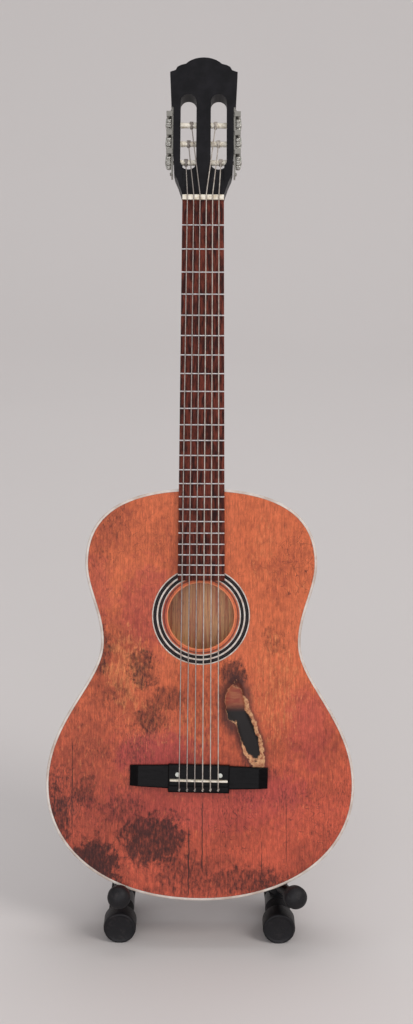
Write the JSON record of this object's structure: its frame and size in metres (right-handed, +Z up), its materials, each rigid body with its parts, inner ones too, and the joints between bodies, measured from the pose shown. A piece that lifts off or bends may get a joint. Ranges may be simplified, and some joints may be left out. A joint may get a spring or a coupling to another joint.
{
  "type": "miniature guitar on stand",
  "caption": "Miniature classical guitar with soundhole, slotted headstock and turning tuners, leaning on a small folding stand with swinging cradle arms.",
  "frame": {"origin": "middle of the whole object's footprint box, on the surface that the stand's feet rest on", "axes": "+Z up; the guitar faces -Y and leans back towards +Y; +X is to the viewer's right when facing the guitar"},
  "size_m": [0.087, 0.0833, 0.2429],
  "materials": {
    "top_wood": "satin printed lacquer, worn",
    "rib_wood": "satin",
    "rosewood": "satin",
    "inner_wood": "raw",
    "binding_cream": "gloss",
    "rosette_black": "gloss",
    "headstock_black": "gloss lacquer",
    "bridge_black": "satin ebonised",
    "bone": "polished",
    "pearl": "pearly",
    "fret_metal": "worn",
    "tuner_metal": "satin",
    "string_nylon": "satin",
    "stand_tube": "satin black",
    "sleeve_foam": "matte, fine pebbled",
    "cap_rubber": "semi-gloss moulded"
  },
  "bodies": {
    "stand": {"leg_left": "stand_tube", "leg_right": "stand_tube", "leg_sleeve_left": "sleeve_foam", "leg_sleeve_right": "sleeve_foam", "foot_cap_left": "cap_rubber", "foot_cap_right": "cap_rubber", "arm_collar_left": "stand_tube", "arm_collar_right": "stand_tube", "pivot_pin_left": "tuner_metal", "pivot_pin_right": "tuner_metal", "top_block": "stand_tube", "hinge_pin": "tuner_metal", "rest_pad": "sleeve_foam"},
    "guitar": {"soundboard": "top_wood", "rosette_white_rings": "binding_cream", "rosette_black_rings": "rosette_black", "body_sides": "rib_wood", "back_plate": "rib_wood", "binding_front": "binding_cream", "binding_back": "binding_cream", "neck_block": "inner_wood", "tail_block": "inner_wood", "linings": "inner_wood", "neck": "rib_wood", "headstock": "headstock_black", "fingerboard": "rosewood", "frets": "fret_metal", "nut": "bone", "bridge": "bridge_black", "saddle": "bone", "bridge_dots": "pearl", "string_1": "string_nylon", "string_2": "string_nylon", "string_3": "string_nylon", "string_4": "string_nylon", "string_5": "string_nylon", "string_6": "string_nylon", "tuner_plate_left": "tuner_metal", "tuner_plate_right": "tuner_metal", "plate_screws": "tuner_metal"},
    "cradle_arm_left": {"arm_left": "stand_tube", "arm_cap_left": "cap_rubber"},
    "cradle_arm_right": {"arm_right": "stand_tube", "arm_cap_right": "cap_rubber"},
    "rear_frame": {"rear_leg": "stand_tube", "rear_foot_caps": "cap_rubber"},
    "tuner_1_button": {"button_1": "pearl"},
    "tuner_1_roller": {"roller_1": "bone"},
    "tuner_2_button": {"button_2": "pearl"},
    "tuner_2_roller": {"roller_2": "bone"},
    "tuner_3_button": {"button_3": "pearl"},
    "tuner_3_roller": {"roller_3": "bone"},
    "tuner_4_button": {"button_4": "pearl"},
    "tuner_4_roller": {"roller_4": "bone"},
    "tuner_5_button": {"button_5": "pearl"},
    "tuner_5_roller": {"roller_5": "bone"},
    "tuner_6_button": {"button_6": "pearl"},
    "tuner_6_roller": {"roller_6": "bone"}
  },
  "joints": [
    {"name": "guitar_lift", "type": "slide", "parent": "stand", "child": "guitar", "axis": [0, 0.2588, 0.9659], "range_m": [0, 0.08]},
    {"name": "left_arm_swivel", "type": "hinge", "parent": "stand", "child": "cradle_arm_left", "pos_m": [-0.0226, -0.01954, 0.0095], "axis": [0, 0, -1], "range_deg": [0, 75]},
    {"name": "right_arm_swivel", "type": "hinge", "parent": "stand", "child": "cradle_arm_right", "pos_m": [0.0226, -0.01954, 0.0095], "axis": [0, 0, 1], "range_deg": [-13, 62]},
    {"name": "rear_leg_fold", "type": "hinge", "parent": "stand", "child": "rear_frame", "pos_m": [0, 0.01642, 0.07602], "axis": [-1, 0, 0], "range_deg": [0, 26]},
    {"name": "tuner_1_turn", "type": "hinge", "parent": "guitar", "child": "tuner_1_button", "pos_m": [-0.00985, 0.02568, 0.2151], "axis": [0, 0.866, -0.5], "range_deg": [-720, 720]},
    {"name": "roller_1_turn", "type": "hinge", "parent": "guitar", "child": "tuner_1_roller", "pos_m": [-0.005, 0.02208, 0.21407], "axis": [-1, 0, 0], "range_deg": [-52, 52]},
    {"name": "tuner_2_turn", "type": "hinge", "parent": "guitar", "child": "tuner_2_button", "pos_m": [-0.00985, 0.02858, 0.22013], "axis": [0, 0.866, -0.5], "range_deg": [-720, 720]},
    {"name": "roller_2_turn", "type": "hinge", "parent": "guitar", "child": "tuner_2_roller", "pos_m": [-0.005, 0.02498, 0.21909], "axis": [-1, 0, 0], "range_deg": [-52, 52]},
    {"name": "tuner_3_turn", "type": "hinge", "parent": "guitar", "child": "tuner_3_button", "pos_m": [-0.00985, 0.03148, 0.22515], "axis": [0, 0.866, -0.5], "range_deg": [-720, 720]},
    {"name": "roller_3_turn", "type": "hinge", "parent": "guitar", "child": "tuner_3_roller", "pos_m": [-0.005, 0.02788, 0.22411], "axis": [-1, 0, 0], "range_deg": [-52, 52]},
    {"name": "tuner_4_turn", "type": "hinge", "parent": "guitar", "child": "tuner_4_button", "pos_m": [0.00985, 0.03148, 0.22515], "axis": [0, 0.866, -0.5], "range_deg": [-720, 720]},
    {"name": "roller_4_turn", "type": "hinge", "parent": "guitar", "child": "tuner_4_roller", "pos_m": [0.005, 0.02788, 0.22411], "axis": [1, 0, 0], "range_deg": [-52, 52]},
    {"name": "tuner_5_turn", "type": "hinge", "parent": "guitar", "child": "tuner_5_button", "pos_m": [0.00985, 0.02858, 0.22013], "axis": [0, 0.866, -0.5], "range_deg": [-720, 720]},
    {"name": "roller_5_turn", "type": "hinge", "parent": "guitar", "child": "tuner_5_roller", "pos_m": [0.005, 0.02498, 0.21909], "axis": [1, 0, 0], "range_deg": [-52, 52]},
    {"name": "tuner_6_turn", "type": "hinge", "parent": "guitar", "child": "tuner_6_button", "pos_m": [0.00985, 0.02568, 0.2151], "axis": [0, 0.866, -0.5], "range_deg": [-720, 720]},
    {"name": "roller_6_turn", "type": "hinge", "parent": "guitar", "child": "tuner_6_roller", "pos_m": [0.005, 0.02208, 0.21407], "axis": [1, 0, 0], "range_deg": [-52, 52]}
  ],
  "couplings": [
    {"joint": "roller_1_turn", "follows": "tuner_1_turn", "ratio": 0.071429},
    {"joint": "roller_2_turn", "follows": "tuner_2_turn", "ratio": 0.071429},
    {"joint": "roller_3_turn", "follows": "tuner_3_turn", "ratio": 0.071429},
    {"joint": "roller_4_turn", "follows": "tuner_4_turn", "ratio": 0.071429},
    {"joint": "roller_5_turn", "follows": "tuner_5_turn", "ratio": 0.071429},
    {"joint": "roller_6_turn", "follows": "tuner_6_turn", "ratio": 0.071429}
  ]
}
